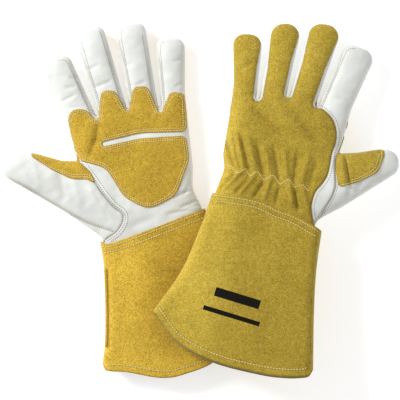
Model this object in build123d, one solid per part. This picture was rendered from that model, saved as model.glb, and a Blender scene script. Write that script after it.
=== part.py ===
"""A pair of gauntlet welding gloves lying on a table, in millimetres, +Z up.

The lower glove lies flat on its back, palm up. The upper glove lies palm down, with its
fingertips on the table and its cuff on the lower glove's cuff. Both are cut from the same
pattern pieces: grain leather hand, split leather back, patches and cuff.
The origin is at the centre of the pair's outline, on the table.
"""
from build123d import *
import os

os.makedirs("parts", exist_ok=True)

# Driving dimensions
GLOVE_THICK = 24.0        # a glove lying flat, over both faces
GLOVE_EDGE = 9.0          # rounding from each face into the glove's side
WALL = 2.4                # leather with its lining
LAP_WALL = 1.2            # share of the wall that each piece has where the cuff laps the hand
LAP_LENGTH = 11.0         # how far the hand runs inside the cuff
PATCH_THICK = 1.2         # reinforcing patch
THREAD_THICK = 0.4        # how far a row of stitches stands on the leather
THREAD_WIDTH = 0.8        # width of a row of stitches
PATCH_ROWS = (2.0, 4.6)   # rows of stitches, from the patch's edge inwards
CUFF_ROWS = (2.8, 8.4)    # rows of stitches, from the cuff's top edge downwards
HEM_ROW = 6.8             # row of stitches, from the hem upwards
FOURCHETTE_HALF = 5.0     # half the width of the strips between the fingers
FOURCHETTE_REACH = 5.0    # how far those strips reach past the gap between two fingers
WELT_WIDTH = 2.4          # side seam strip of the cuff
ELASTIC = (58.0, 8.0, 1.0)  # length, width and thickness of the band that gathers the wrist
UPPER_TILT = 7.0          # slope of the upper glove, from its fingertips up to its cuff
TIP_REACH = 177.2         # furthest that either glove's fingertips reach along +Y
MIRROR_SUM = 16.0         # x on the lower glove plus x on the upper glove, for one pattern point
MIRROR_RISE = 11.0        # how much further along +Y the upper glove's pattern lies
LOWER_THUMB_SIDE = -60.0  # x that parts the thumb's side of the lower cuff from the rest
UPPER_THUMB_SIDE = 80.0   # the same on the upper cuff

MID = GLOVE_THICK / 2
TALL = 400.0              # taller than anything here, for cutting tools
LOWEST = -100.0
BAND_STEPS = 12           # straight stretches in a row of stitches along the cuff

# Outlines are lists of corners (x, y, radius of the rounded corner)
LOWER_HAND = [
    (-92, -72, 8), (-97, -38, 14), (-138, -10, 60), (-199, 25, 13), (-197.5, 47.5, 12.5),
    (-168, 46.5, 40), (-138, 38, 20), (-121.5, 38, 3),
    (-131, 76, 40), (-163, 137.5, 13), (-131.5, 145, 13),
    (-104.2, 84.5, 1.3), (-101, 84.5, 1.3),
    (-126.5, 168, 13), (-97.5, 176.5, 13),
    (-73.3, 92, 1.3), (-70.1, 92, 1.3),
    (-85.5, 174, 13), (-55.5, 179, 13),
    (-42, 93.5, 1.3), (-38.8, 93.5, 1.3),
    (-45.5, 162.3, 13), (-15, 162.3, 13),
    (-15, 105, 80), (-7, 34, 60), (-7.5, 12, 20), (2, -8, 20), (12, -36, 8),
]
UPPER_HAND = [
    (0, -38, 8), (16, 8, 20), (24.5, 31, 15), (23, 45, 20), (34, 112, 80),
    (33, 167, 13), (63.5, 166, 13),
    (56, 100, 1.3), (59.2, 100, 1.3),
    (73, 177, 13), (103, 177.5, 13),
    (86, 103, 1.3), (89.2, 103, 1.3),
    (112, 178, 13), (143.5, 174.5, 13),
    (114.8, 93, 1.3), (118, 93, 1.3),
    (146, 157, 13), (177, 147, 13),
    (151, 90, 40), (142, 58, 25), (136.5, 44.5, 3),
    (158, 45.5, 60), (198.5, 52, 13), (198.5, 28, 13),
    (143, -7, 80), (114.5, -22, 14), (110, -66, 8),
]
# Cuff outlines run past the top edge and the hem, and are trimmed to them
LOWER_CUFF = [
    (-102.5, -10, 10), (-95.5, -105, 300), (-98.5, -215, 12), (118, -215, 12),
    (26, -56, 200), (-7, 20, 10),
]
UPPER_CUFF = [
    (17.5, 25, 10), (-14, -63, 150), (-104, -190, 12), (-104, -215, 12), (111.2, -215, 12),
    (116, -60, 200), (122.5, -8, 10),
]
LOWER_CUFF_TOP = [(-150, -50), (-100, -41.5), (-93, -44), (-76, -39), (-45, -27.5), (5, -8.2), (60, 9)]
UPPER_CUFF_TOP = [(-40, 10), (12, 5.5), (54, -1), (96, -18), (121, -32.5), (160, -55)]
LOWER_HEM = [(-150, -150), (-97, -163), (-60, -174.5), (-22, -176.3), (14, -162), (42, -136), (57, -108), (66, -80)]
UPPER_HEM = [(-62, -78), (-47, -112), (-24, -142), (13, -162), (59, -175), (100, -177.5), (114, -169), (160, -130)]

# Pattern pieces of the palm face, laid out on the lower glove
PALM_PATCH = [
    (-122, 38, 8), (-131, 66, 30), (-130, 90, 9), (-110, 92, 8), (-101.5, 75, 2.5),
    (-100, 110, 8.5), (-81, 109, 8.5), (-72, 84, 2.5), (-68, 113, 8.5), (-48, 113, 8.5),
    (-39, 84, 2.5), (-33.5, 108, 8.5), (-14.5, 107, 8.5), (-13, 68, 6),
    (-60, 66.5, 60), (-98, 57.5, 1.2), (-96.5, 53.5, 1.2), (-60, 61.5, 60), (-14, 64.5, 6),
    (-11.5, 44, 25), (-20, 12, 25), (-56, -12, 22), (-92, 28, 30),
]
THUMB_PALM = [
    (-172, 58, 2), (-126, 52, 2), (-119.5, 37, 4), (-109, 28, 6), (-103, 15.5, 1.5), (-113, 20.5, 6),
    (-128, 20.5, 15), (-148, 30, 30), (-168, 43, 4),
]
THUMB_ROOT = [
    (-240, 80), (-121, 37.5), (-104, 16), (-96, 4.5), (-86, -7), (-78.5, -12.5), (-76.5, -17),
    (-78, -24), (-83.5, -32), (-98, -42), (-240, -80),
]
# Pattern pieces of the back face, laid out on the upper glove
THUMB_ROOT_BACK = [
    (260, 60), (137, 45), (134.5, 24), (135, 10), (131, 0), (122, -14), (114, -36), (260, -80),
]
THUMB_BACK = [
    (136.2, 44.5, 0.8), (150, 56, 2), (178, 64, 2), (184, 44, 10), (177, 25, 12), (158, 16, 26),
    (137.5, 9.5, 4), (134.3, 30, 10),
]
BACK_EDGE = [
    (117, 92.5), (125, 86.5), (132.7, 77.5), (136, 66), (135, 55), (131.4, 44.5), (127.5, 25),
    (122.5, 15), (114.5, 5), (110.3, -9), (111, -20), (102, -90),
]
INDEX_SIDE = [(200, -90), (260, 200), (175, 200), (141, 152)]
ELASTIC_CENTRE = (64, 20)
ELASTIC_TURN = -14.0      # the wrist band's slope in plan

# Crotch, and the two fingertips' corners on each side of the gap
LOWER_GAPS = {
    "index_middle": [(-102.6, 86), (-128, 137), (-123.5, 158)],
    "middle_ring": [(-71.7, 94), (-94.5, 163), (-83.5, 163)],
    "ring_little": [(-40.4, 95.5), (-55, 162), (-44.5, 152)],
}
UPPER_GAPS = {
    "index_middle": [(116.4, 95), (142, 147), (139.5, 162)],
    "middle_ring": [(87.6, 105), (109.5, 165), (100.5, 163)],
    "ring_little": [(58, 102), (70.5, 162), (62.5, 153)],
}


def mirrored(points):
    """One glove's pattern points laid out on the other glove."""
    return [(MIRROR_SUM - x, *rest) for x, *rest in points]


def onto_upper(points):
    return [(x, y + MIRROR_RISE, *rest) for x, y, *rest in mirrored(points)]


def onto_lower(points):
    return [(x, y - MIRROR_RISE, *rest) for x, y, *rest in mirrored(points)]


def rounded_face(corners):
    """A flat face inside rounded corners (x, y, radius)."""
    points = [(x, y) for x, y, _ in corners]
    radii = [radius for _, _, radius in corners]
    return make_face(FilletPolyline(*points, radius=radii, close=True))


def straight_face(points):
    return make_face(Polyline(*points, close=True))


def prism(face, low=LOWEST, high=TALL):
    """A cutting tool of constant plan shape."""
    return Pos(0, 0, low) * extrude(face, high - low)


def pillow(corners, inset=0.0):
    """A flattened glove body with rounded sides, or the same one a little smaller inside."""
    face = rounded_face(corners)
    if inset:
        face = offset(face, -inset)
    height = GLOVE_THICK - 2 * inset
    block = Pos(0, 0, inset) * extrude(face, height)
    rims = block.edges().filter_by(lambda edge: edge.bounding_box().size.Z < WALL / 2)
    return fillet(rims, GLOVE_EDGE - inset)


def line_band(points, distance, width):
    """A strip along an open line, at a distance below it in plan."""
    line = Spline(*points)
    upper = [line @ (i / BAND_STEPS) - Vector(0, distance - width / 2) for i in range(BAND_STEPS + 1)]
    lower = [point - Vector(0, width) for point in reversed(upper)]
    return straight_face(upper + lower)


def below_line(points, drop=0.0):
    """A tool for everything below an open line that has been moved down by drop."""
    top = [(x, y - drop) for x, y in points]
    edge = Spline(*top)
    left, right = top[0], top[-1]
    rest = Polyline(right, (right[0], -TALL), (left[0], -TALL), left)
    return prism(make_face([edge, rest]))


def ring_faces(corners, rows):
    """Narrow closed strips inside a patch's edge, one for each row of stitches."""
    patch = rounded_face(corners)
    rings = []
    for row in rows:
        outside = offset(patch, -(row - THREAD_WIDTH / 2))
        inside = offset(patch, -(row + THREAD_WIDTH / 2))
        rings.append(outside - inside)
    return rings


def half_space(low, high):
    """Everything between two heights."""
    return prism(Rectangle(2 * TALL, 2 * TALL), low, high)


def top_skin(body, low, high):
    """A layer that stands on the body's upper face, from one height over it to another."""
    return Pos(0, 0, high) * body - Pos(0, 0, low) * body


def bottom_skin(body, low, high):
    """A layer let into the body's lower face, from one depth to another."""
    return Pos(0, 0, low) * body - Pos(0, 0, high) * body


def patch_with_thread(body, zone, rings, is_up):
    """A patch and its rows of stitches, standing on the upper face or let into the lower one."""
    ring_zone = prism(rings[0])
    for ring in rings[1:]:
        ring_zone += prism(ring)
    if is_up:
        patch = top_skin(body, 0, PATCH_THICK) & zone
        thread = top_skin(body, PATCH_THICK, PATCH_THICK + THREAD_THICK) & zone & ring_zone
    else:
        thread = bottom_skin(body, 0, THREAD_THICK) & zone & ring_zone
        patch = (bottom_skin(body, 0, PATCH_THICK) & zone) - thread
    return patch, thread


def add_patches(pieces, body, palm_up, to_palm, to_back):
    """The palm patch and both faces of the thumb patch, with their stitches."""
    palm_outline = to_palm(PALM_PATCH)
    thumb_palm_outline = to_palm(THUMB_PALM)
    thumb_back_outline = to_back(THUMB_BACK)
    thumb_palm_zone = prism(rounded_face(thumb_palm_outline))
    thumb_back_zone = prism(rounded_face(thumb_back_outline))
    palm_zone = prism(rounded_face(palm_outline)) - thumb_palm_zone

    palm_patch, palm_thread = patch_with_thread(
        body, palm_zone, ring_faces(palm_outline, PATCH_ROWS), palm_up)
    front_patch, front_thread = patch_with_thread(
        body, thumb_palm_zone, ring_faces(thumb_palm_outline, PATCH_ROWS[:1]), palm_up)
    back_patch, back_thread = patch_with_thread(
        body, thumb_back_zone, ring_faces(thumb_back_outline, PATCH_ROWS[:1]), not palm_up)
    pieces["palm_patch"] = palm_patch
    pieces["palm_patch_thread"] = palm_thread
    pieces["thumb_patch"] = front_patch + back_patch
    pieces["thumb_patch_thread"] = front_thread + back_thread
    if palm_up:
        return bottom_skin(body, 0, PATCH_THICK) & thumb_back_zone
    return bottom_skin(body, 0, PATCH_THICK) & (palm_zone + thumb_palm_zone)


def hand_pieces(glove):
    """The hand's leather panels and patches, and the solid that the cuff laps over."""
    body = pillow(glove["hand"])
    lap = pillow(glove["hand"], LAP_WALL)
    hollow = pillow(glove["hand"], WALL)
    cuff_zone = below_line(glove["cuff_top"])
    beyond_lap = below_line(glove["cuff_top"], LAP_LENGTH)
    shell = body - hollow - (cuff_zone - lap) - beyond_lap
    palm_up = glove["palm_up"]
    palm_half = half_space(MID, TALL) if palm_up else half_space(LOWEST, MID)
    back_half = half_space(LOWEST, MID) if palm_up else half_space(MID, TALL)
    thumb_zone = prism(straight_face(glove["to_palm"](THUMB_ROOT))) & palm_half
    thumb_zone += prism(straight_face(glove["to_back"](THUMB_ROOT_BACK))) & back_half
    index_zone = prism(straight_face(glove["to_back"](BACK_EDGE + INDEX_SIDE)))

    pieces = {}
    shell -= add_patches(pieces, body, palm_up, glove["to_palm"], glove["to_back"])
    for gap, points in glove["gaps"].items():
        strip = offset(straight_face(points), FOURCHETTE_REACH)
        zone = prism(strip, MID - FOURCHETTE_HALF, MID + FOURCHETTE_HALF)
        pieces["fourchette_" + gap] = shell & zone
        shell -= zone
    thumb = shell & thumb_zone
    hand = shell - thumb_zone
    back = hand & back_half
    pieces["thumb_front"] = thumb & palm_half
    pieces["thumb_back"] = thumb & back_half
    pieces["palm_panel"] = hand & palm_half
    pieces["index_back"] = back & index_zone
    pieces["back_panel"] = back - index_zone
    return pieces, lap - beyond_lap


def wrist_elastic(glove):
    """The band sewn inside the back of the wrist, which gathers the leather."""
    length, width, thick = ELASTIC
    x, y = glove["to_back"]([ELASTIC_CENTRE])[0]
    turn = ELASTIC_TURN if not glove["palm_up"] else -ELASTIC_TURN
    height = WALL + thick / 2
    if not glove["palm_up"]:
        height = GLOVE_THICK - height
    return Pos(x, y, height) * Rot(0, 0, turn) * Box(length, width, thick)


def cuff_pieces(glove, lap):
    """The gauntlet cuff: two panels, a strip in the side seam and the rows of stitches."""
    body = pillow(glove["cuff"])
    hollow = pillow(glove["cuff"], WALL)
    cuff_zone = below_line(glove["cuff_top"]) - below_line(glove["hem"])
    shell = (body & cuff_zone) - (hollow & below_line(glove["cuff_top"], LAP_LENGTH)) - lap
    seam_zone = prism(line_band(glove["cuff_top"], CUFF_ROWS[0], THREAD_WIDTH))
    seam_zone += prism(line_band(glove["cuff_top"], CUFF_ROWS[1], THREAD_WIDTH))
    hem_zone = prism(line_band(glove["hem"], -HEM_ROW, THREAD_WIDTH))
    above = top_skin(body, 0, THREAD_THICK) & cuff_zone
    below = bottom_skin(body, 0, THREAD_THICK) & cuff_zone
    shell -= below & (seam_zone + hem_zone)

    welt_layer = half_space(MID - WELT_WIDTH / 2, MID + WELT_WIDTH / 2)
    thumb_side = prism(Pos(glove["thumb_side_x"], 0) * Rectangle(TALL, 2 * TALL))
    welt = shell & welt_layer & thumb_side
    panels = shell - welt
    return {
        "cuff_front": panels & half_space(MID, TALL),
        "cuff_back": panels & half_space(LOWEST, MID),
        "cuff_welt": welt,
        "cuff_seam_thread": (above & seam_zone) + (below & seam_zone),
        "hem_thread": (above & hem_zone) + (below & hem_zone),
    }


def glove_pieces(glove):
    pieces, lap = hand_pieces(glove)
    pieces["wrist_elastic"] = wrist_elastic(glove)
    pieces.update(cuff_pieces(glove, lap))
    return pieces


def as_drawn(points):
    return points


LOWER = {
    "hand": LOWER_HAND, "cuff": LOWER_CUFF, "cuff_top": LOWER_CUFF_TOP, "hem": LOWER_HEM,
    "gaps": LOWER_GAPS, "palm_up": True, "to_palm": as_drawn, "to_back": onto_lower,
    "thumb_side_x": LOWER_THUMB_SIDE - TALL / 2,
}
UPPER = {
    "hand": UPPER_HAND, "cuff": UPPER_CUFF, "cuff_top": UPPER_CUFF_TOP, "hem": UPPER_HEM,
    "gaps": UPPER_GAPS, "palm_up": False, "to_palm": onto_upper, "to_back": as_drawn,
    "thumb_side_x": UPPER_THUMB_SIDE + TALL / 2,
}

lower_pieces = glove_pieces(LOWER)
upper_pieces = glove_pieces(UPPER)

# The upper glove slopes from its fingertips, which touch the table, up to its cuff
slope = Rot(-UPPER_TILT, 0, 0)
boxes = [(slope * piece).bounding_box() for piece in upper_pieces.values()]
lowest = min(box.min.Z for box in boxes)
furthest = max(box.max.Y for box in boxes)
settle = Pos(0, TIP_REACH - furthest, -lowest) * slope

for name, piece in lower_pieces.items():
    export_step(piece, f"parts/lower_{name}.step")
for name, piece in upper_pieces.items():
    export_step(settle * piece, f"parts/upper_{name}.step")
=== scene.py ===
"""Looks of a pair of leather gauntlet welding gloves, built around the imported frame.

Each glove is shaped flat, in millimetres, in the plan of the frame: x to the right, y to the
fingertips. A glove's place() then lays it on the table, and slopes the upper one as its CAD does.
"""
import math

import bpy
import numpy as np
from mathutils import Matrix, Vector, geometry


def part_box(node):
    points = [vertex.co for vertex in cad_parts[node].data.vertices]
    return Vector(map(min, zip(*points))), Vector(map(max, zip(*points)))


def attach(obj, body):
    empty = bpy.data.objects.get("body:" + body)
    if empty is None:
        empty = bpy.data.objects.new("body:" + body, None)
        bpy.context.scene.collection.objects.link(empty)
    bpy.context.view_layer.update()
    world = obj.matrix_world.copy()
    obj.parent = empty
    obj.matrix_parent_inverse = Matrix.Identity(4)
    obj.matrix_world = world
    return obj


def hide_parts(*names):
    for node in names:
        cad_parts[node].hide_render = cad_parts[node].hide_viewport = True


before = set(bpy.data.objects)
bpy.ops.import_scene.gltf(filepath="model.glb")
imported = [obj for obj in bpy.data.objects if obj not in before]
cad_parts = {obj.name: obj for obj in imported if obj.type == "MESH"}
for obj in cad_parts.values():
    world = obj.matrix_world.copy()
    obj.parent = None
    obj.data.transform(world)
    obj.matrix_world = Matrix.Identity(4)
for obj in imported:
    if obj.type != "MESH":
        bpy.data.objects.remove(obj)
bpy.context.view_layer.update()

MM = 0.001

# Shape of a glove, in millimetres
MID = 12.0                # height of the seam plane over the table
PUFF = 1.42               # how far a stuffed width rises
PUFF_REACH = 10.0         # width beyond which the leather stops rising
WALL = 1.3                # one layer of leather
PATCH_THICK = 1.3         # a patch standing on the hand
PATCH_SHEET = 1.2         # thickness of a patch's own leather
STRIP_SHEET = 0.5         # thickness of a welt's or elastic's sheet
SKIN_STEP = 1.6           # spacing of the hand's mesh
GRID_STEP = 1.25          # spacing of the grid that holds the hand's thickness
EDGE_RINGS = (0.3, 0.8, 1.4, 2.2, 3.0, 3.8)
PATCH_RINGS = (0.35, 0.8, 1.5)
CUFF_HALF = 11.6          # half the thickness of a cuff
CUFF_ROUND = 10.0         # how far from its side a cuff reaches that thickness
LAP_LENGTH = 11.0         # how far the cuff laps over the hand
CUFF_CELLS = 83           # mesh cells along each edge of a cuff
CUFF_ROWS = (2.8, 8.4)    # rows of stitches, from the cuff's top edge down
HEM_ROW = 6.8             # row of stitches, from the hem up
SEAM_STEP = 1.6           # spacing of the points along a seam
PATCH_STEP = 1.3          # spacing of the points along a patch's edge
RELAX_ROUNDS = 700        # rounds that settle a hand's thickness
ARC_POINTS = 9            # points along each rounded corner
CURVE_POINTS = 12         # points between two given ones of a smooth line
ROW_SHARE = 0.866         # height of an even triangle, as a share of its side
CROWDING = 0.93           # a moved edge loses the points nearer the edge than this share of its move
WAVE_COUNT = 7            # waves that add up to uneven swelling
CHUNK = 4000              # points measured at a time
STITCH_SIDES = 6
WELD_REACH = 0.02         # points nearer than this are joined
SKIN_CLEAR = 4.8          # even rows of mesh points start this far inside the edge
SEAM_CLEAR = 4.6          # seams follow the mesh only this far inside the hand's edge
FOLD_GAIN = 1.25          # strength of all folds
PATCH_ROWS = (1.8, 3.8)   # rows of stitches, from a patch's edge inwards
GAP_REACH = 9.0           # how far a finger gap's zone runs past its crotch and sides
GAP_STRIP = 2.8           # how much of the strip between two fingers shows on each face
TIP_REACH = 9.0           # how far past a fingertip's corner the strip between two fingers runs
TAPER = 34.0              # length over which that strip narrows to nothing
WRIST_SLACK = 0.22        # share of its thickness that the hand loses at the wrist
WRIST_REACH = 26.0        # length over which it does
TABLE_GAP = 0.5           # lowest point of the hand that lies on the table
TABLE_GIVE = 0.12         # how much of its round shape that face keeps
TABLE_REACH = 3.0         # height under the table from which it is pressed up
CAD_LEATHER = 2.4         # thickness of leather and lining in the frame
BAND_SPOT = (64, 20)      # middle of the wrist elastic on the back of a hand
BAND_LENGTH = 58.0
BAND_WIDTH = 8.0
BAND_HALF = 0.5           # half the thickness of the elastic in the frame
BAND_LEAN = math.radians(14)
PRINT_LEAN = math.radians(-17)
UPPER_TILT = math.radians(7.0)
PALM_MIDDLE = -60.0       # x that parts the palm's thumb side from its little finger's side
MIRROR_SUM = 16.0         # the sum of the x of a point on one glove and on the other, mirrored one
MIRROR_RISE = 11.0        # how much higher in the plan it is on the upper glove

# The stage, in metres and watts
FLOOR_REACH = 3.0
LIGHTS = (                # name, spot, size and power
    ("key", (-1.4, 0.9, 1.15), 0.7, 36.0),
    ("fill", (1.2, -0.3, 1.6), 1.6, 7.0),
)
VIEW_WIDTH = 0.400        # width that the camera sees
VIEW_LEVEL = 0.018        # height at which it sees it

# Outlines: corners (x, y, radius), in millimetres, close to the frame's
LOWER_HAND = [
    (-92, -72, 8), (-97, -38, 14), (-138, -10, 60), (-199, 25, 13), (-197.5, 47.5, 12.5),
    (-168, 46.5, 40), (-138, 38, 20), (-121.5, 38, 3),
    (-131, 76, 40), (-163, 138.5, 11), (-131.5, 146, 9),
    (-104.2, 84.5, 1.3), (-101, 84.5, 1.3),
    (-126.5, 169, 11), (-97.5, 176, 9),
    (-73.3, 92, 1.3), (-70.1, 92, 1.3),
    (-85.5, 175, 11), (-55.5, 178.5, 9),
    (-42, 93.5, 1.3), (-38.8, 93.5, 1.3),
    (-45, 162, 9), (-15, 162.3, 9.5),
    (-15, 105, 80), (-7, 34, 60), (-7.5, 12, 20), (2, -8, 20), (12, -36, 8),
]
UPPER_HAND = [
    (0, -38, 8), (16, 8, 20), (24.5, 31, 15), (23, 45, 20), (34, 112, 80),
    (33, 167, 11), (63.3, 166, 12),
    (56, 100, 1.3), (59.2, 100, 1.3),
    (73, 177, 13), (103, 177.5, 13),
    (86, 103, 1.3), (89.2, 103, 1.3),
    (112, 178, 13), (143.5, 174.5, 13),
    (114.8, 93, 1.3), (118, 93, 1.3),
    (146, 158, 11), (177, 147, 12),
    (151, 90, 40), (142, 58, 25), (136.5, 44.5, 3),
    (158, 45.5, 60), (198.5, 52, 13), (198.5, 28, 13),
    (143, -7, 80), (114.5, -22, 14), (110, -66, 8),
]
LOWER_CUFF = {
    "left": [(-100, -41.5), (-96.5, -66), (-95, -105), (-95.2, -142), (-97.5, -162.5)],
    "right": [(5, -8.2), (24, -52), (44, -88), (57, -110)],
    "top": [(-100, -41.5), (-93, -44), (-76, -39), (-45, -27.5), (5, -8.2)],
    "hem": [(-97.5, -162.5), (-95, -169), (-90, -171), (-73, -172), (-46, -177), (-31, -177.5), (-17, -174.5),
            (13, -162.5), (42, -136), (57, -110)],
}
UPPER_CUFF = {
    "left": [(12, 5.5), (1, -26), (-18.3, -71), (-47, -112)],
    "right": [(121, -32.5), (115.5, -72), (113, -115), (112, -170)],
    "top": [(12, 5.5), (54, -1), (79, -11.5), (96, -18), (121, -32.5)],
    "hem": [(-47, -112), (-24, -142), (13, -162), (59, -174), (84, -177.3), (100, -177.2), (108, -175.5),
            (112, -169.5)],
}
PALM_PATCH = [
    (-120, 39, 8), (-132.5, 66, 30), (-130.5, 91, 9), (-114, 90.5, 7.5), (-101.5, 75.5, 3),
    (-99, 109.5, 7), (-85, 109.5, 7), (-71.5, 84, 2.5), (-66.8, 113.5, 7), (-52.3, 113.5, 6.5),
    (-39.5, 83.5, 2.5), (-30, 108.5, 6.5), (-14.8, 106.5, 6.5), (-13, 68, 6),
    (-60, 66.5, 60), (-98, 57.5, 1.2), (-96.5, 53.5, 1.2), (-60, 61.5, 60), (-14, 64.5, 6),
    (-10.5, 40, 30), (-24, 4, 22), (-52, -10.5, 22), (-76, 3, 26), (-94, 32, 20),
]
THUMB_PALM = [
    (-174, 60, 2), (-126, 52, 2), (-119.5, 37, 4), (-109, 28, 6), (-103, 15.5, 1.5), (-113, 20.5, 6),
    (-128, 20.5, 15), (-148, 30, 30), (-168, 43, 4),
]
THUMB_BACK = [
    (136.2, 44.5, 0.8), (150, 57, 2), (178, 66, 2), (184, 44, 10), (177, 25, 12), (158, 16, 26),
    (137.5, 9.5, 4), (134.3, 30, 10),
]
THUMB_PALM_ROWS = [
    [(-158, 37.5), (-148, 31.8), (-128, 23.4), (-112, 23), (-105.5, 18.5)],
    [(-142, 30.5), (-128, 25.4), (-113, 25), (-107, 22)],
]
THUMB_BACK_ROWS = [
    [(176.5, 60), (181, 44), (174.5, 27), (158, 18), (139, 12)],
    [(178.5, 44), (172.5, 28.5), (158, 20), (150, 17.5)],
]
THUMB_ROOT = [
    (-215, 62), (-160, 48), (-135, 43), (-121, 37.5), (-112, 27), (-104, 16), (-96, 4.5), (-86, -7),
    (-78.5, -12.5), (-76.5, -17), (-78, -24), (-83.5, -32), (-92, -38), (-104, -46), (-150, -60), (-215, -70),
]
THUMB_ROOT_BACK = [
    (215, 62), (160, 50), (145, 47), (137, 43), (134.8, 34), (134.7, 24), (135, 12), (131, 0),
    (122, -14), (114, -30), (122, -44), (160, -60), (215, -70),
]
THUMB_SIDE = [(-188, 20), (-172, 12.5), (-151, -0.5), (-132.5, -11.5), (-113, -21.5), (-101, -26), (-86, -31)]
BACK_EDGE = [
    (117, 92.5), (125, 86.5), (132.7, 77.5), (136, 66), (135, 55), (131.4, 44.5), (127.5, 25),
    (122.5, 15), (114.5, 5), (110.5, -9), (112, -20), (113.5, -32), (112, -60), (108, -90),
]
INDEX_SIDE = [(200, -90), (260, 200), (175, 200), (141, 152)]
LOWER_GAPS = {
    "index_middle": [(-102.6, 86), (-128, 137), (-123.5, 158)],
    "middle_ring": [(-71.7, 94), (-94.5, 163), (-83.5, 163)],
    "ring_little": [(-40.4, 95.5), (-55, 162), (-44.5, 152)],
}
UPPER_GAPS = {
    "index_middle": [(116.4, 95), (142, 147), (139.5, 162)],
    "middle_ring": [(87.6, 105), (109.5, 165), (100.5, 163)],
    "ring_little": [(58, 102), (70.5, 162), (62.5, 153)],
}

# Zigzag row that gathers the back of the wrist, on the upper glove
GATHERS = [
    (26, 33), (32, 31.4), (35.5, 25.2), (38, 24), (45.4, 29.2), (49.8, 20.7), (57, 26.5), (64, 17.1),
    (70.4, 22), (74, 21.6), (79.3, 12.7), (87.3, 18), (91, 15.4), (93, 10), (102.5, 12.7), (108, 6),
]
PRINT_BARS = [(37, -100, 46, 9), (31, -117.5, 58, 4.5)]   # centre, length and width

# Painted light and shade on the suede: soft spots painted paler where light falls, darker where negative
# (painted shade): centre, reach along x and y, and how much
LOWER_PAINTED_LIGHT = [
    (-70, -100, 26, 90, 0.34), (-92, -110, 10, 80, 0.12), (-30, -165, 50, 16, 0.20),
    (-35, -62, 26, 30, -0.10), (-122, 72, 12, 26, 0.06),
]
UPPER_PAINTED_LIGHT = [
    (-8, -85, 26, 80, 0.36), (22, 10, 14, 60, 0.34), (30, 90, 14, 60, 0.20), (72, 130, 22, 40, 0.12),
    (106, 128, 14, 40, 0.10), (80, -120, 60, 90, -0.16), (96, 30, 30, 60, -0.04),
]

# Folds of the face that is up: start, end, width and height, a valley where the height is negative
LOWER_FOLDS = [
    (-135, 112, -123.5, 113.3, 1.5, -1.0), (-131, 91.6, -113.3, 94.1, 1.8, -0.7),
    (-139, 98, -123.5, 105.6, 1.5, -1.0), (-131, 122.5, -122, 121, 1.3, -0.8),
    (-105.6, 112, -88, 119.6, 1.8, -1.1), (-65, 114.5, -54.6, 118.4, 1.5, -0.9),
    (-26.5, 138.8, -17.6, 140.7, 1.4, -0.8), (-25, 113.3, -16.3, 117, 1.4, -0.9),
    (-112, 130, -100, 136, 1.8, -0.7), (-80, 132, -68, 136, 1.8, -0.7), (-78, 110, -66, 116, 1.8, -0.7),
    (-101, 78, -104.5, 56, 3.0, -1.9), (-104, 62, -112, 40, 3.0, -1.7), (-110, 80, -116, 50, 5, 1.0),
    (-30, 2, -4, 12, 1.5, -1.1), (-20.5, -8, -1, 0.5, 1.5, -1.3), (-34, -14.5, -11, -9.5, 1.8, -0.9),
    (-17, 4.5, -8, 20, 1.6, -0.9), (-12, -6, 1, -5, 1.4, -0.9), (-70, -28, -45, -16, 4, -0.8),
    (-142, 32, -136, -4, 4.5, -1.1), (-128, 24, -118, -10, 4, 0.8), (-166, 38, -160, 10, 4, 0.7),
    (-112, 14, -92, -14, 3.5, 1.4), (-107, 8, -90, -20, 2.2, -0.9), (-98, 16, -84, -4, 2.5, 0.8),
]
UPPER_FOLDS = [
    (136.4, 101.3, 152, 96.4, 1.6, -1.0), (139, 44, 144.5, 10, 2.4, 2.2), (143.8, 43, 149, 11, 1.6, -1.9),
    (22, 66, 35.5, 25, 2.2, -2.0), (28.5, 70, 37, 25, 2.4, 2.2), (36, 66, 43, 29, 2.2, 1.4),
    (40, 66, 49.5, 21, 2.2, -2.4), (47, 62, 55, 27, 2.6, 1.8), (56, 56, 64, 17.5, 2.2, -2.4),
    (63, 54, 70.5, 22, 2.6, 1.8), (73, 52, 79, 13, 2.2, -2.2), (84, 50, 86.5, 18, 2.8, 1.8),
    (97, 46, 92.5, 11, 2.2, -2.0), (108, 42, 100, 13, 2.8, 1.7), (116, 38, 107, 8, 2.6, -1.4),
    (35, 25, 19, 8, 2.0, -1.8), (42.5, 28, 22, 8, 2.4, 2.0), (50, 20.5, 33, 3, 2.0, -2.2),
    (56.5, 26, 38, 3, 2.4, 2.2), (64, 17, 52, -1, 2.0, -2.2), (71, 21.5, 62, -4, 2.6, 2.0),
    (79, 12.5, 74, -9, 2.0, -2.0), (88, 18, 92, -10, 2.4, 2.2), (93, 10, 98, -14, 1.8, -2.2),
    (101, 13, 108, -15, 2.6, 2.0), (30, 84, 66, 66, 5, 1.3), (46, 96, 84, 60, 5, -1.4),
    (70, 98, 106, 66, 6, 1.5), (92, 86, 118, 52, 5, -1.3), (84, 56, 112, 40, 4, 1.2),
    (116, 84, 128, 62, 4, 0.9), (40, 130, 56, 138, 2.5, -0.7), (72, 140, 94, 132, 2.5, -0.7),
    (104, 138, 124, 130, 2.5, -0.7), (165, 12, 176, 40, 5, 0.8),
    (155, 5, 160, 18, 3.5, -1.0), (146, 0, 150, 12, 3, -0.9),
]


def onto_upper(points):
    """An outline drawn on the lower glove, mirrored on to the upper one."""
    return [(MIRROR_SUM - x, y + MIRROR_RISE, *rest) for x, y, *rest in points]


def onto_lower(points):
    """An outline drawn on the upper glove, mirrored on to the lower one."""
    return [(MIRROR_SUM - x, y - MIRROR_RISE, *rest) for x, y, *rest in points]


def as_drawn(points):
    return points


# ---------------------------------------------------------------- plan geometry

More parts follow.
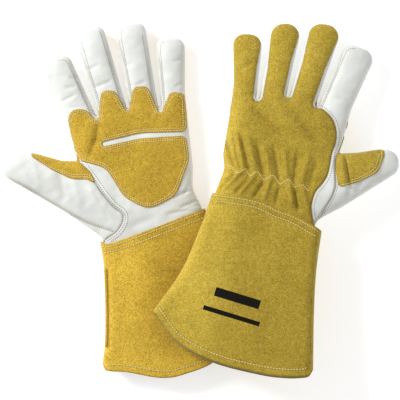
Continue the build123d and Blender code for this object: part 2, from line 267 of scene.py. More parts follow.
def resample(points, step, closed=False):
    """Evenly spaced points along a line."""
    line = np.asarray(points, float)
    if closed:
        line = np.vstack([line, line[:1]])
    lengths = np.hypot(*np.diff(line, axis=0).T)
    along = np.concatenate([[0], np.cumsum(lengths)])
    count = max(int(round(along[-1] / step)), 2)
    places = np.linspace(0, along[-1], count + 1)
    if closed:
        places = places[:-1]
    return np.column_stack([np.interp(places, along, line[:, k]) for k in range(line.shape[1])])


def rounded_loop(corners, step):
    """A closed line with rounded corners, from (x, y, radius) corners."""
    points = []
    count = len(corners)
    for i, (x, y, radius) in enumerate(corners):
        here = np.array([x, y], float)
        back = np.array(corners[i - 1][:2], float) - here
        ahead = np.array(corners[(i + 1) % count][:2], float) - here
        back /= np.hypot(*back)
        ahead /= np.hypot(*ahead)
        half = math.acos(np.clip(back @ ahead, -1, 1)) / 2
        start = here + back * radius / math.tan(half)
        end = here + ahead * radius / math.tan(half)
        middle = (back + ahead) / np.hypot(*(back + ahead))
        centre = here + middle * radius / math.sin(half)
        first = math.atan2(*(start - centre)[::-1])
        sweep = math.atan2(*(end - centre)[::-1]) - first
        sweep = (sweep + math.pi) % (2 * math.pi) - math.pi
        for angle in np.linspace(first, first + sweep, ARC_POINTS):
            points.append(centre + radius * np.array([math.cos(angle), math.sin(angle)]))
    return resample(points, step, closed=True)


def smooth_line(points, step):
    """A smooth line through a few points (Catmull-Rom), evenly sampled."""
    p = np.asarray(points, float)
    p = np.vstack([2 * p[0] - p[1], p, 2 * p[-1] - p[-2]])
    out = []
    for i in range(1, len(p) - 2):
        for t in np.linspace(0, 1, CURVE_POINTS, endpoint=False):
            out.append(0.5 * (2 * p[i] + (p[i + 1] - p[i - 1]) * t
                              + (2 * p[i - 1] - 5 * p[i] + 4 * p[i + 1] - p[i + 2]) * t ** 2
                              + (3 * p[i] - p[i - 1] - 3 * p[i + 1] + p[i + 2]) * t ** 3))
    out.append(p[-2])
    return resample(out, step)


def nearest(points, line, closed=True):
    """Distance from each point to a line."""
    a = np.asarray(line, float)
    b = np.roll(a, -1, axis=0)
    if not closed:
        a, b = a[:-1], b[:-1]
    span = b - a
    size = np.maximum((span ** 2).sum(1), 1e-12)
    best = np.full(len(points), 1e9)
    for start in range(0, len(points), CHUNK):
        chunk = points[start:start + CHUNK, None, :] - a[None]
        t = np.clip((chunk * span).sum(2) / size, 0, 1)
        gap = chunk - t[..., None] * span
        best[start:start + CHUNK] = np.sqrt((gap ** 2).sum(2).min(1))
    return best


def right_of(line):
    """Unit directions to the right of an open plan line, at each of its points."""
    ahead = np.gradient(line, axis=0)
    ahead /= np.hypot(*ahead.T)[:, None]
    return np.column_stack([ahead[:, 1], -ahead[:, 0]])


def beside(line, offset):
    """A plan line moved to its right by an offset."""
    return line + right_of(line) * offset


def offset_below(line, drop):
    """A plan line moved down the glove, shortened a little at both ends."""
    down = right_of(line)
    down *= np.sign(-down[:, 1:2])
    return (line + down * drop)[1:-1]


def kept_runs(line, keep, least):
    """The unbroken stretches of a line where keep holds, with more points than the least number."""
    cuts = np.flatnonzero(np.diff(keep.astype(int))) + 1
    runs = zip(np.split(line, cuts), np.split(keep, cuts))
    return [run for run, flags in runs if flags[0] and len(run) > least]


def inside(points, loop):
    """Which points lie in a closed line."""
    a = np.asarray(loop, float)
    b = np.roll(a, -1, axis=0)
    result = np.zeros(len(points), bool)
    x, y = points[:, 0], points[:, 1]
    for (x0, y0), (x1, y1) in zip(a, b):
        if y0 == y1:
            continue
        crosses = (y0 > y) != (y1 > y)
        result ^= crosses & (x < (x1 - x0) * (y - y0) / (y1 - y0) + x0)
    return result


def inward(loop, distance):
    """Points at a distance inside a closed line, leaving out those that crowd together."""
    ahead = np.roll(loop, -1, axis=0) - np.roll(loop, 1, axis=0)
    ahead /= np.hypot(*ahead.T)[:, None]
    normal = np.column_stack([-ahead[:, 1], ahead[:, 0]])
    probe = loop + normal * 0.1
    if inside(probe, loop).mean() < 0.5:
        normal = -normal
    ring = loop + normal * distance
    keep = inside(ring, loop) & (nearest(ring, loop) > CROWDING * distance)
    return ring[keep]


class Field:
    """A smooth quantity on a plan grid, read at any point."""

    def __init__(self, low, values):
        self.low = low
        self.values = values

    def at(self, points):
        spot = (points - self.low) / GRID_STEP
        limit = np.array(self.values.shape) - 1.001
        spot = np.clip(spot, 0, limit)
        cell = spot.astype(int)
        part = spot - cell
        i, j = cell.T
        s, t = part.T
        v = self.values
        return (v[i, j] * (1 - s) * (1 - t) + v[i + 1, j] * s * (1 - t)
                + v[i, j + 1] * (1 - s) * t + v[i + 1, j + 1] * s * t)


def puffed(loop):
    """How far a flat stuffed outline rises: its square over the distance to the edge."""
    low = loop.min(0) - 4
    size = np.ceil((loop.max(0) + 4 - low) / GRID_STEP).astype(int)
    xs = low[0] + GRID_STEP * np.arange(size[0])
    ys = low[1] + GRID_STEP * np.arange(size[1])
    nodes = np.array(np.meshgrid(xs, ys, indexing="ij")).reshape(2, -1).T
    within = inside(nodes, loop).reshape(size)
    edge = nearest(nodes, loop).reshape(size)
    rise = np.zeros(size)
    pull = 4 + (GRID_STEP / PUFF_REACH) ** 2
    for _ in range(RELAX_ROUNDS):
        around = rise[2:, 1:-1] + rise[:-2, 1:-1] + rise[1:-1, 2:] + rise[1:-1, :-2]
        rise[1:-1, 1:-1] = (around + GRID_STEP ** 2) / pull * within[1:-1, 1:-1]
    known = within & (edge > GRID_STEP)
    ratio = np.where(known, rise / np.maximum(edge, GRID_STEP), 0)
    weight = known.astype(float)
    for _ in range(6):
        spread = np.zeros(size)
        count = np.zeros(size)
        for axis in (0, 1):
            for way in (1, -1):
                spread += np.roll(ratio * weight, way, axis)
                count += np.roll(weight, way, axis)
        fresh = (weight == 0) & (count > 0)
        ratio[fresh] = spread[fresh] / count[fresh]
        weight[fresh] = 1
    return Field(low, ratio)


def bump(distance, width):
    return np.exp(-(distance / width) ** 2)


def waves(points, size, seed):
    """Soft uneven swelling, between about -1 and 1."""
    rng = np.random.default_rng(seed)
    total = np.zeros(len(points))
    for _ in range(WAVE_COUNT):
        turn = rng.uniform(0, 2 * math.pi)
        pitch = size * rng.uniform(0.6, 1.6)
        phase = rng.uniform(0, 2 * math.pi)
        across = points[:, 0] * math.cos(turn) + points[:, 1] * math.sin(turn)
        total += np.sin(across * 2 * math.pi / pitch + phase)
    return total / (WAVE_COUNT / 2)


# ---------------------------------------------------------------- materials

def new_material(name):
    material = bpy.data.materials.new(name)
    material.use_nodes = True
    tree = material.node_tree
    shader = tree.nodes["Principled BSDF"]
    return material, tree, shader


def set_sockets(node, **values):
    """Set a node's input sockets, named with _ for each space."""
    for name, value in values.items():
        node.inputs[name.replace("_", " ")].default_value = value


def object_coordinates(tree):
    return tree.nodes.new("ShaderNodeTexCoord").outputs["Object"]


def noise(tree, vector, scale, detail=4.0, roughness=0.55, distortion=0.0):
    node = tree.nodes.new("ShaderNodeTexNoise")
    set_sockets(node, Scale=scale, Detail=detail, Roughness=roughness, Distortion=distortion)
    tree.links.new(vector, node.inputs["Vector"])
    return node.outputs["Fac"]


def bands(tree, vector, direction, scale, distortion):
    node = tree.nodes.new("ShaderNodeTexWave")
    node.wave_type = "BANDS"
    node.bands_direction = direction
    set_sockets(node, Scale=scale, Distortion=distortion)
    tree.links.new(vector, node.inputs["Vector"])
    return node.outputs["Fac"]


def ramp(tree, value, stops):
    node = tree.nodes.new("ShaderNodeValToRGB")
    elements = node.color_ramp.elements
    while len(elements) < len(stops):
        elements.new(0.5)
    for element, (place, colour) in zip(elements, stops):
        element.position = place
        element.color = (*colour, 1.0)
    tree.links.new(value, node.inputs["Fac"])
    return node.outputs["Color"]


def mix(tree, kind, first, second, amount):
    node = tree.nodes.new("ShaderNodeMix")
    node.data_type = "RGBA"
    node.blend_type = kind
    for name, value in (("Factor", amount), ("A", first), ("B", second)):
        socket = node.inputs[name]
        if hasattr(value, "links"):
            tree.links.new(value, socket)
        elif isinstance(value, tuple):
            socket.default_value = (*value, 1.0)
        else:
            socket.default_value = value
    return node.outputs["Result"]


def add_bumps(tree, shader, layers):
    """Stacked bumps: (height, strength, distance in metres)."""
    normal = None
    for height, strength, distance in layers:
        node = tree.nodes.new("ShaderNodeBump")
        set_sockets(node, Strength=strength, Distance=distance)
        tree.links.new(height, node.inputs["Height"])
        if normal is not None:
            tree.links.new(normal, node.inputs["Normal"])
        normal = node.outputs["Normal"]
    tree.links.new(normal, shader.inputs["Normal"])


def painted_shading(tree, strongest=1.0):
    """The painted shading stored on the mesh: up to 1 for painted shade in a seam, down to -1 for painted
    light on the nap.
    """
    node = tree.nodes.new("ShaderNodeAttribute")
    node.attribute_name = "crease"
    part = tree.nodes.new("ShaderNodeMapRange")
    set_sockets(part, From_Max=strongest)
    tree.links.new(node.outputs["Fac"], part.inputs["Value"])
    return part.outputs["Result"]


def grain_leather(name, clean, shade):
    """Goatskin: fine pebbles, soft creases and a low gloss."""
    material, tree, shader = new_material(name)
    place = object_coordinates(tree)
    cloud = noise(tree, place, 38.0, 5.0, 0.6)
    fine = noise(tree, place, 900.0, 3.0, 0.6)
    colour = ramp(tree, cloud, [(0.3, shade), (0.68, clean)])
    grey = tuple(0.88 * c for c in shade)
    colour = mix(tree, "MIX", colour, grey, ramp(tree, fine, [(0.5, (0, 0, 0)), (0.8, (0.35, 0.35, 0.35))]))
    # Painted shade: darker in seams, finger crotches and fold valleys, from the mesh's stored painted
    # shading.
    colour = mix(tree, "MULTIPLY", colour, (0.62, 0.58, 0.51), painted_shading(tree))
    tree.links.new(colour, shader.inputs["Base Color"])
    pebbles = tree.nodes.new("ShaderNodeTexVoronoi")
    set_sockets(pebbles, Scale=820.0, Randomness=1.0)
    tree.links.new(place, pebbles.inputs["Vector"])
    creases = noise(tree, place, 210.0, 4.0, 0.6, 0.8)
    folds = noise(tree, place, 60.0, 3.0, 0.5, 0.4)
    add_bumps(tree, shader, [
        (folds, 0.35, 0.0016), (creases, 0.35, 0.0005), (pebbles.outputs["Distance"], 0.3, 0.0003)])
    shine = tree.nodes.new("ShaderNodeMapRange")
    set_sockets(shine, To_Min=0.42, To_Max=0.62)
    tree.links.new(cloud, shine.inputs["Value"])
    tree.links.new(shine.outputs["Result"], shader.inputs["Roughness"])
    set_sockets(shader, Specular_IOR_Level=0.4, Coat_Weight=0.06, Coat_Roughness=0.5)
    return material


def split_leather(name, light, base, dark):
    """Suede: a nap that varies in soft patches, with fibre speckle, and the mesh's painted shade and painted
    highlights.
    """
    material, tree, shader = new_material(name)
    place = object_coordinates(tree)
    cloud = noise(tree, place, 24.0, 6.0, 0.62, 0.6)
    nap = noise(tree, place, 260.0, 6.0, 0.7, 0.3)
    speck = noise(tree, place, 950.0, 2.0, 0.6)
    colour = ramp(tree, cloud, [(0.3, dark), (0.5, base), (0.72, light)])
    speckle = ramp(tree, nap, [(0.34, tuple(0.74 * c for c in base)), (0.5, base), (0.68, light)])
    colour = mix(tree, "MIX", colour, speckle, 0.55)
    grit = ramp(tree, speck, [(0.36, (0.50, 0.45, 0.38)), (0.54, (1.0, 1.0, 1.0)), (0.70, (1.2, 1.2, 1.15))])
    colour = mix(tree, "MULTIPLY", colour, grit, 0.75)
    # Painted shade from the mesh's stored painted shading, then a painted highlight (the pale colour) where
    # that shading is negative.
    colour = mix(tree, "MULTIPLY", colour, (0.5, 0.44, 0.34), painted_shading(tree))
    pale = mix(tree, "MULTIPLY", colour, (2.1, 2.15, 2.6), 1.0)
    colour = mix(tree, "MIX", colour, pale, painted_shading(tree, -1.0))
    tree.links.new(colour, shader.inputs["Base Color"])
    add_bumps(tree, shader, [(cloud, 0.3, 0.0020), (nap, 0.5, 0.0007), (speck, 0.45, 0.0003)])
    set_sockets(shader, Roughness=0.95, Specular_IOR_Level=0.12, Sheen_Weight=0.3, Sheen_Roughness=0.55)
    set_sockets(shader, Sheen_Tint=(1.0, 0.86, 0.5, 1.0))
    return material


def thread_material(name, colour, dark):
    """Twisted sewing thread: fine bands along each stitch."""
    material, tree, shader = new_material(name)
    twist = bands(tree, object_coordinates(tree), "DIAGONAL", 700.0, 1.0)
    tree.links.new(ramp(tree, twist, [(0.1, dark), (0.6, colour)]), shader.inputs["Base Color"])
    add_bumps(tree, shader, [(twist, 0.5, 0.0002)])
    set_sockets(shader, Roughness=0.7, Specular_IOR_Level=0.25)
    return material


def woven_material(name, colour, dark, pitch):
    """Plain woven cloth or elastic, from two crossed bands."""
    material, tree, shader = new_material(name)
    place = object_coordinates(tree)
    warp, weft = (bands(tree, place, direction, pitch, 0.6) for direction in "XY")
    weave = mix(tree, "DIFFERENCE", warp, weft, 1.0)
    tree.links.new(ramp(tree, weave, [(0.1, dark), (0.8, colour)]), shader.inputs["Base Color"])
    add_bumps(tree, shader, [(weave, 0.5, 0.0004)])
    set_sockets(shader, Roughness=0.9, Specular_IOR_Level=0.15)
    return material


def ink_material(name):
    """Screen print that lets a little of the nap through."""
    material, tree, shader = new_material(name)
    place = object_coordinates(tree)
    grit = noise(tree, place, 1300.0, 3.0, 0.7)
    colour = ramp(tree, grit, [(0.5, (0.006, 0.006, 0.005)), (0.8, (0.04, 0.032, 0.012))])
    tree.links.new(colour, shader.inputs["Base Color"])
    add_bumps(tree, shader, [(grit, 0.3, 0.0002)])
    set_sockets(shader, Roughness=0.95, Specular_IOR_Level=0.1)
    return material


WHITE = grain_leather("grain_leather", (0.79, 0.805, 0.77), (0.66, 0.67, 0.635))
SUEDE = {
    "lower": split_leather(
        "split_leather_warm", (0.69, 0.46, 0.052), (0.56, 0.365, 0.038), (0.40, 0.253, 0.027)),
    "upper": split_leather(
        "split_leather_olive", (0.58, 0.425, 0.066), (0.452, 0.322, 0.036), (0.325, 0.226, 0.023)),
}
PALE_THREAD = thread_material("suede_thread", (0.93, 0.82, 0.44), (0.70, 0.57, 0.22))
GREY_THREAD = thread_material("grain_thread", (0.26, 0.235, 0.19), (0.10, 0.09, 0.07))
LINING = woven_material("lining", (0.50, 0.40, 0.20), (0.30, 0.23, 0.10), 420.0)
ELASTIC = woven_material("elastic", (0.78, 0.76, 0.70), (0.50, 0.48, 0.43), 260.0)
INK = ink_material("ink")


# ---------------------------------------------------------------- meshes

def make_object(name, points, faces, materials, place, crease=None):
    """A smooth mesh from points in millimetres, with the painted shade and painted light stored at each
    point.
    """
    mesh = bpy.data.meshes.new(name)
    placed = [tuple(p) for p in place(np.asarray(points, float))]
    mesh.from_pydata(placed, [], [list(map(int, f)) for f in faces])
    mesh.validate()
    mesh.update()
    for material in materials:
        mesh.materials.append(material)
    if crease is not None and len(mesh.vertices) == len(crease):
        attribute = mesh.attributes.new("crease", "FLOAT", "POINT")
        attribute.data.foreach_set("value", np.asarray(crease, dtype=np.float32))
    mesh.shade_smooth()
    piece = bpy.data.objects.new(name, mesh)
    bpy.context.scene.collection.objects.link(piece)
    return piece


def thicken(piece, thickness, inner_slot=0):
    """Give a sheet its leather thickness, on the inside of its face."""
    modifier = piece.modifiers.new("thickness", "SOLIDIFY")
    modifier.thickness = thickness * MM
    modifier.offset = -1.0
    modifier.use_even_offset = False
    modifier.material_offset = inner_slot
    modifier.material_offset_rim = 0


def triangulate(lines, loose):
    """A plan mesh that follows every line: (points, closed) pairs, and loose points between."""
    points = []
    edges = []
    for line, closed in lines:
        first = len(points)
        points += [Vector(p) for p in line]
        count = len(line)
        edges += [(first + i, first + (i + 1) % count) for i in range(count if closed else count - 1)]
    points += [Vector(p) for p in loose]
    found = geometry.delaunay_2d_cdt(points, edges, [], 0, 1e-4)
    return np.array([tuple(p) for p in found[0]]), np.array([f for f in found[2] if len(f) == 3])


def hexagonal(loop, step, clear):
    """Loose points inside a closed line, in even rows, clear of its edge."""
    low, high = loop.min(0), loop.max(0)
    rows = np.arange(low[1], high[1], step * ROW_SHARE)
    points = []
    for k, y in enumerate(rows):
        xs = np.arange(low[0] + (k % 2) * step / 2, high[0], step)
        points.append(np.column_stack([xs, np.full(len(xs), y)]))
    points = np.vstack(points)
    points = points[inside(points, loop)]
    return points[nearest(points, loop) > clear]


def weld(points, faces):
    """Join points that lie on each other, such as those of two sheets along their common edge."""
    keys = np.round(points / WELD_REACH).astype(int)
    _, first, back = np.unique(keys, axis=0, return_index=True, return_inverse=True)
    return points[first], back.reshape(-1)[faces], first


def joined(parts):
    """One welded sheet from (points, faces, shade) parts, without points that no face uses."""
    points = np.vstack([p for p, _, _ in parts])
    shade = np.concatenate([s for _, _, s in parts])
    shift = np.cumsum([0] + [len(p) for p, _, _ in parts])
    faces = np.vstack([f + shift[i] for i, (_, f, _) in enumerate(parts)])
    points, faces, first = weld(points, faces)
    used, faces = np.unique(faces, return_inverse=True)
    faces = faces.reshape(-1, 3)
    faces = faces[[len(set(f)) == 3 for f in faces]]
    return points[used], faces, shade[first][used]


def grid_faces(rows, columns, first=0, turned=False):
    """Quads between the points of a grid, numbered row by row from the first one."""
    faces = []
    for r in range(rows - 1):
        for c in range(columns - 1):
            corner = first + r * columns + c
            quad = (corner, corner + columns, corner + columns + 1, corner + 1)
            faces.append(quad[::-1] if turned else quad)
    return faces


class Glove:
    """One glove's shape: where its hand and cuff surfaces lie over any plan point."""

    def __init__(self, name, body, corners, cuff, gaps, palm_up, folds, painted_light_spots, place):
        self.name = name
        self.body = body
        self.cuff_lines = {key: smooth_line(line, 2.0) for key, line in cuff.items()}
        thumb_edge = self.cuff_lines["left" if palm_up else "right"]
        self.cuff_seam = thumb_edge[14:-8] + [3.4 if palm_up else -3.4, 0]
        self.gaps = gaps
        self.palm_up = palm_up
        self.folds = {1: folds, -1: []}
        self.painted_light_spots = painted_light_spots
        self.place = place
        self.to_palm = as_drawn if palm_up else onto_upper
        self.to_back = onto_lower if palm_up else as_drawn
        self.loop = rounded_loop(corners, 1.5)
        self.field = puffed(self.loop)
        self.seams = {1: [], -1: []}
        palm, back = (1, -1) if palm_up else (-1, 1)
        self.palm_side = palm
        self.rows = []
        self.root = smooth_line(self.to_palm(THUMB_ROOT), SEAM_STEP)
        self.back_root = smooth_line(self.to_back(THUMB_ROOT_BACK), SEAM_STEP)
        self.back_edge = smooth_line(self.to_back(BACK_EDGE), SEAM_STEP)
        thumb_side = smooth_line(self.to_palm(THUMB_SIDE), SEAM_STEP)
        for side, line, offsets in (
                (palm, self.root, (-1.9, -4.6)), (palm, thumb_side, (1.1,)),
                (back, self.back_root, (-1.7, 1.7)), (back, self.back_edge, (2.6,))):
            self.seams[side].append(line)
            self.rows += [(side, line, offset if palm_up else -offset) for offset in offsets]

    def gap_sides(self, points):
        """For each point: the gap between fingers it borders, its side (-1 or 1) and the strip's width."""
        which = np.full(len(points), -1)
        side = np.zeros(len(points))
        share = np.zeros(len(points))
        for k, corners in enumerate(self.gaps.values()):
            crotch, first, second = (np.array(c, float) for c in corners)
            axis = (first + second) / 2 - crotch
            reach = np.hypot(*axis)
            axis /= reach
            across = np.array([axis[1], -axis[0]])
            along = (points - crotch) @ axis
            off = (points - crotch) @ across
            spread = np.hypot(*(first - second)) / 2 * np.clip(along / reach, 0, 1)
            near = (along > -GAP_REACH) & (along < reach + TIP_REACH) & (np.abs(off) < spread + GAP_REACH)
            which[near] = k
            side[near] = np.sign(off[near])
            share[near] = np.clip((reach + TIP_REACH - along[near]) / TAPER, 0, 1)
        return which, side, share

    def rise(self, points):
        """How far the stuffed hand stands off its seam plane, and each point's distance to the edge."""
        edge = nearest(points, self.loop)
        edge = np.where(inside(points, self.loop), edge, 0.0)
        edge = np.where(edge < 1e-3, 0.0, edge)
        height = PUFF * np.sqrt(np.maximum(self.field.at(points) * edge, 0.0))
        below = self.below_cuff_top(points)
        slack = 1.0 - WRIST_SLACK * np.clip((below + WRIST_REACH) / WRIST_REACH, 0, 1)
        return height * slack, edge

    def below_cuff_top(self, points):
        """How far a point lies on the cuff's side of the cuff's top edge, in millimetres."""
        line = self.cuff_lines["top"]
        return np.interp(points[:, 0], line[:, 0], line[:, 1]) - points[:, 1]

    def detail(self, points, side, edge):
        """Seams, folds and slack leather, in millimetres outwards."""
        calm = np.clip(edge / 4.0, 0, 1)
        total = 0.38 * waves(points, 34.0, 3 + side) * calm + 0.16 * waves(points, 11.0, 8 + side) * calm
        for line in self.seams[side]:
            total -= 0.9 * bump(nearest(points, line, False), 1.5)
        share = self.gap_sides(points)[2]
        total -= 0.5 * bump(edge - GAP_STRIP * share, 0.9) * share
        for closeness, height in self.fold_lines(points, side):
            total += FOLD_GAIN * height * closeness * calm
        return total

    def fold_lines(self, points, side):
        """How close each point is to each fold's line, 1 on it, and the fold's height."""
        for x0, y0, x1, y1, width, height in self.folds[side]:
            span = np.array([x1 - x0, y1 - y0], float)
            length = np.hypot(*span)
            span /= length
            away = points - np.array([x0, y0], float)
            along = away @ span / length
            off = away @ np.array([-span[1], span[0]])
            ends = np.clip(np.minimum(along, 1 - along) * 4 + 0.25, 0, 1)
            yield bump(off, width) * ends, height

    def painted_light_level(self, points):
        """How much paler the suede is painted, to stand for light falling on it, soft from one place to
        another; painted shade where negative.
        """
        total = np.zeros(len(points))
        for x, y, wide, high, amount in self.painted_light_spots:
            total += amount * np.exp(-((points[:, 0] - x) / wide) ** 2 - ((points[:, 1] - y) / high) ** 2)
        return total

    def fold_shade(self, points, side):
        """Shading of the folds: darker in valleys, paler on crests."""
        total = np.zeros(len(points))
        for closeness, height in self.fold_lines(points, side):
            if height < 0:
                total = np.maximum(total, min(0.5, -0.22 * height) * closeness ** 2)
            else:
                total = np.where(total > 0.1, total, np.minimum(total, -0.2 * height * closeness ** 3))
        return total

    def hand(self, points, side):
        """Points on the hand's outer face."""
        height, edge = self.rise(points)
        height = np.maximum(height + self.detail(points, side, edge) * (height > 0), 0.0)
        z = MID + side * height
        if self.palm_up and side < 0:
            z = np.maximum(z, TABLE_GAP + TABLE_GIVE * (z + TABLE_REACH))
        return np.column_stack([points, z])

    def cuff(self, points, side):
        """Points on the cuff's outer face."""
        left, right = self.cuff_lines["left"], self.cuff_lines["right"]
        away = np.minimum(nearest(points, left, False), nearest(points, right, False))
        part = np.clip(away / CUFF_ROUND, 0, 1)
        round_side = np.sqrt(1 - (1 - part) ** 2)
        ripple = 0.3 * waves(points, 60.0, 21 + side) + 0.12 * waves(points, 16.0, 25 + side)
        height = (CUFF_HALF + ripple * part) * round_side
        if side > 0 and self.palm_up:
            height -= bump(nearest(points, self.cuff_seam, False), 0.9) * (height > 2)
        lapped, _ = self.rise(points)
        below = self.below_cuff_top(points)
        hug = np.clip(1 - (below - LAP_LENGTH) / 8, 0, 1)
        height = np.maximum(height, (lapped + 0.9) * hug * (lapped > 0))
        z = MID + side * height
        if self.palm_up and side < 0:
            z = np.maximum(z, 0.0)
        return np.column_stack([points, z])

    def on_cuff(self, line):
        """The part of a plan line that lies inside the cuff's outline."""
        lines = self.cuff_lines
        loop = np.vstack([lines["top"], lines["right"], lines["hem"][::-1], lines["left"][::-1]])
        return line[inside(line, loop) & (nearest(line, loop) > 0.8)]

    def lifted(self, surface, points, side, amount):
        """Points on a face, moved outwards along its normal."""
        step = 0.35
        steady = np.full(len(points), float(side))
        base = surface(points, side)
        ahead_x = surface(points + [step, 0], side)[:, 2] - surface(points - [step, 0], side)[:, 2]
        ahead_y = surface(points + [0, step], side)[:, 2] - surface(points - [0, step], side)[:, 2]
        normal = np.column_stack([-side * ahead_x / (2 * step), -side * ahead_y / (2 * step), steady])
        if surface == self.hand:
            normal[nearest(points, self.loop) < 0.01, 2] = 0.0
        normal /= np.maximum(np.sqrt((normal ** 2).sum(1)), 1e-9)[:, None]
        moved = base + normal * np.asarray(amount).reshape(-1, 1)
        if self.palm_up and side < 0:
            moved[:, 2] = np.maximum(moved[:, 2], 0.05)
        return moved

    # ---- the hand's panels

    def index_zone(self):
        return np.vstack([self.back_edge, np.array(self.to_back(INDEX_SIDE), float)])

    def region(self, centres, side):
        """Name of the panel that each plan point belongs to."""
        names = np.empty(len(centres), dtype=object)
        edge = nearest(centres, self.loop)
        if side == self.palm_side:
            names[:] = "palm_panel"
            names[inside(centres, self.root)] = "thumb_front"
        else:
            names[:] = "back_panel"
            names[inside(centres, self.index_zone())] = "index_back"
            names[inside(centres, self.back_root)] = "thumb_back"
        which, _, share = self.gap_sides(centres)
        for k, gap in enumerate(self.gaps):
            names[(which == k) & (edge < GAP_STRIP * share)] = "fourchette_" + gap
        return names

    def panels(self):
        """Cut the hand's two faces into panels along their seams, and make each one."""
        sheets = {}
        rings = [inward(self.loop, distance) for distance in EDGE_RINGS]
        for side in (1, -1):
            lines = [(self.loop, True)]
            for seam in self.seams[side]:
                within = inside(seam, self.loop) & (nearest(seam, self.loop) > SEAM_CLEAR)
                lines += [(run, False) for run in kept_runs(seam, within, 2)]
            loose = np.vstack(rings + [hexagonal(self.loop, SKIN_STEP, SKIN_CLEAR)])
            for line, closed in lines[1:]:
                loose = loose[nearest(loose, line, closed) > 0.8]
            plan, faces = triangulate(lines, loose)
            centres = plan[faces].mean(1)
            beyond = self.below_cuff_top(centres) > LAP_LENGTH
            keep = inside(centres, self.loop) & ~beyond
            faces, centres = faces[keep], centres[keep]
            points = self.hand(plan, side)
            names = self.region(centres, side)
            shade = self.crease(plan, side)
            turned = faces if side > 0 else faces[:, ::-1]
            for name in set(names):
                sheets.setdefault(name, []).append((points, turned[names == name], shade))
        for name, parts in sorted(sheets.items()):
            points, faces, shade = joined(parts)
            split = name == "back_panel"
            outer = SUEDE[self.name] if split else WHITE
            piece = make_object(
                f"{self.name}_{name}_skin", points, faces, [outer, LINING], self.place, shade)
            thicken(piece, WALL, 1)
            self.own(piece, "split_leather" if split else "grain_leather", f"{self.name}_{name}")

    def crease(self, plan, side):
        """Painted shading of the hand: painted shade in seams, crotches and valleys, painted highlights on
        crests, and painted light and shade in soft spots on the face that is up.
        """
        total = np.zeros(len(plan))
        for line in self.seams[side]:
            total = np.maximum(total, 0.85 * bump(nearest(plan, line, False), 1.3))
        edge = nearest(plan, self.loop)
        share = self.gap_sides(plan)[2]
        total = np.maximum(total, 0.6 * bump(edge - GAP_STRIP * share, 0.8) * share)
        # Painted shade in the finger crotches, near the edge.
        crotch_shade = np.zeros(len(plan))
        for corners in self.gaps.values():
            crotch_shade = np.maximum(crotch_shade, bump(np.hypot(*(plan - np.array(corners[0], float)).T), 7.0))
        total = np.maximum(total, 0.9 * crotch_shade * bump(edge, 1.2))
        folds = self.fold_shade(plan, side)
        total = np.where(folds < 0, total + folds, np.maximum(total, folds))
        # Painted light and painted shade in soft spots, on the face that is up only.
        if side > 0:
            total -= self.painted_light_level(plan)
        return total

    def own(self, piece, slot, *nodes):
        """Tie a piece to the glove's body and hide the frame's nodes that it stands for; its slot is not
        used.
        """
        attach(piece, self.body)
        if nodes:
            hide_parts(*nodes)

    # ---- patches, stitches and strips

    def patch(self, name, outlines, material):
        """A patch of leather sewn on the hand: outlines are (corners, side) pairs."""
        parts = []
        for corners, side in outlines:
            loop = rounded_loop(corners, PATCH_STEP)
            loose = [inward(loop, distance) for distance in PATCH_RINGS]
            loose = np.vstack(loose + [hexagonal(loop, SKIN_STEP, 2.4)])
            loose = loose[nearest(loose, self.loop) > 0.7]
            silhouette = np.vstack([inward(self.loop, distance) for distance in EDGE_RINGS])
            silhouette = silhouette[inside(silhouette, loop)]
            silhouette = silhouette[nearest(silhouette, loop) > 2.0]
            plan, faces = triangulate([(loop, True), (self.loop, True)], np.vstack([loose, silhouette]))
            centres = plan[faces].mean(1)
            keep = inside(centres, loop) & inside(centres, self.loop)
            faces = faces[keep]
            near = nearest(plan, loop)
            fall = np.clip(near / 0.9, 0, 1)
            amount = PATCH_THICK * np.sqrt(1 - (1 - fall) ** 2) - 0.1
            amount -= 0.4 * (bump(near - PATCH_ROWS[0], 0.5) + bump(near - PATCH_ROWS[1], 0.5))
            palm_x = plan[:, 0] if self.palm_up else MIRROR_SUM - plan[:, 0]
            flush = 0.1 + 0.6 * nearest(plan, self.loop)
            amount = np.where(palm_x > PALM_MIDDLE, np.minimum(amount, flush), amount)
            points = self.lifted(self.hand, plan, side, amount)
            # Painted shadow along the patch's edge, with the folds' painted shading.
            shade = np.maximum(0.7 * bump(near, 0.5), self.fold_shade(plan, side))
            parts.append((points, faces if side > 0 else faces[:, ::-1], shade))
        points, faces, shade = joined(parts)
        piece = make_object(f"{self.name}_{name}_sewn", points, faces, [material], self.place, shade)
        thicken(piece, PATCH_SHEET)
        self.own(piece, "split_leather", f"{self.name}_{name}")

